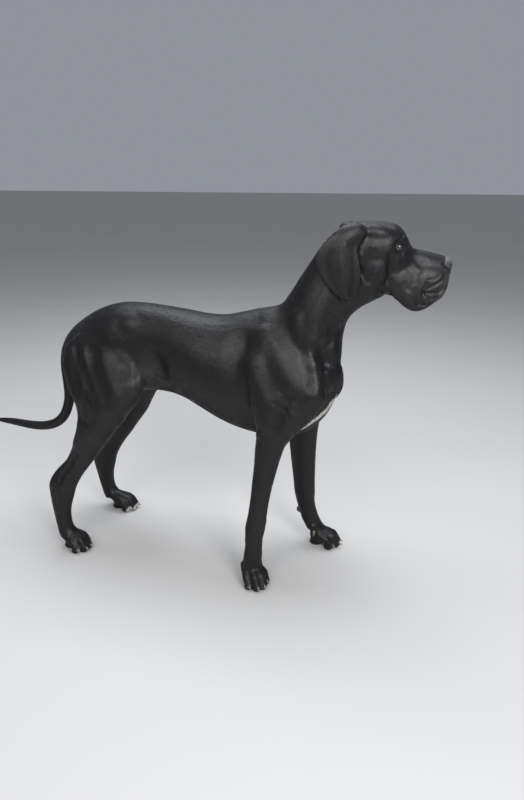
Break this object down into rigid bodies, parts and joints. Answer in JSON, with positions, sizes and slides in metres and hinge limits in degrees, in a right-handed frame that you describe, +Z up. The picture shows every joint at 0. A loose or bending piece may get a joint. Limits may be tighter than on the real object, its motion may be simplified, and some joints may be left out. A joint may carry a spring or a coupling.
{
  "type": "great dane",
  "caption": "Standing great dane, life size, as a still model: sleek black short-coated dog with drop ears, deep chest and long hanging tail.",
  "frame": {"origin": "middle of the bounding box, on the floor under the feet", "axes": "+X from tail to head, +Y to the animal's left, +Z up"},
  "size_m": [1.3862, 0.3456, 0.9941],
  "materials": {
    "coat": "short black hair lying flat, with a low silky sheen",
    "nose": "damp pebbled nose leather",
    "eye": "wet clear eyeball over a brown iris",
    "claw": "pale worn horn"
  },
  "bodies": {
    "root": {"chest": "coat", "head": "coat", "neck": "coat", "muzzle": "coat", "lower_jaw": "coat", "loin": "coat", "rump": "coat", "tail_root": "coat", "tail_bend": "coat", "tail_end": "coat", "nose": "nose", "shoulder_right": "coat", "forearm_right": "coat", "fore_pastern_right": "coat", "fore_paw_right": "coat", "thigh_right": "coat", "gaskin_right": "coat", "hock_right": "coat", "hind_paw_right": "coat", "ear_right": "coat", "eye_right": "eye", "fore_claw_1_right": "claw", "fore_claw_2_right": "claw", "fore_claw_3_right": "claw", "fore_claw_4_right": "claw", "hind_claw_1_right": "claw", "hind_claw_2_right": "claw", "hind_claw_3_right": "claw", "hind_claw_4_right": "claw", "fore_claw_thumb_right": "claw", "shoulder_left": "coat", "forearm_left": "coat", "fore_pastern_left": "coat", "fore_paw_left": "coat", "thigh_left": "coat", "gaskin_left": "coat", "hock_left": "coat", "hind_paw_left": "coat", "ear_left": "coat", "eye_left": "eye", "fore_claw_1_left": "claw", "fore_claw_2_left": "claw", "fore_claw_3_left": "claw", "fore_claw_4_left": "claw", "hind_claw_1_left": "claw", "hind_claw_2_left": "claw", "hind_claw_3_left": "claw", "hind_claw_4_left": "claw", "fore_claw_thumb_left": "claw"}
  },
  "joints": []
}
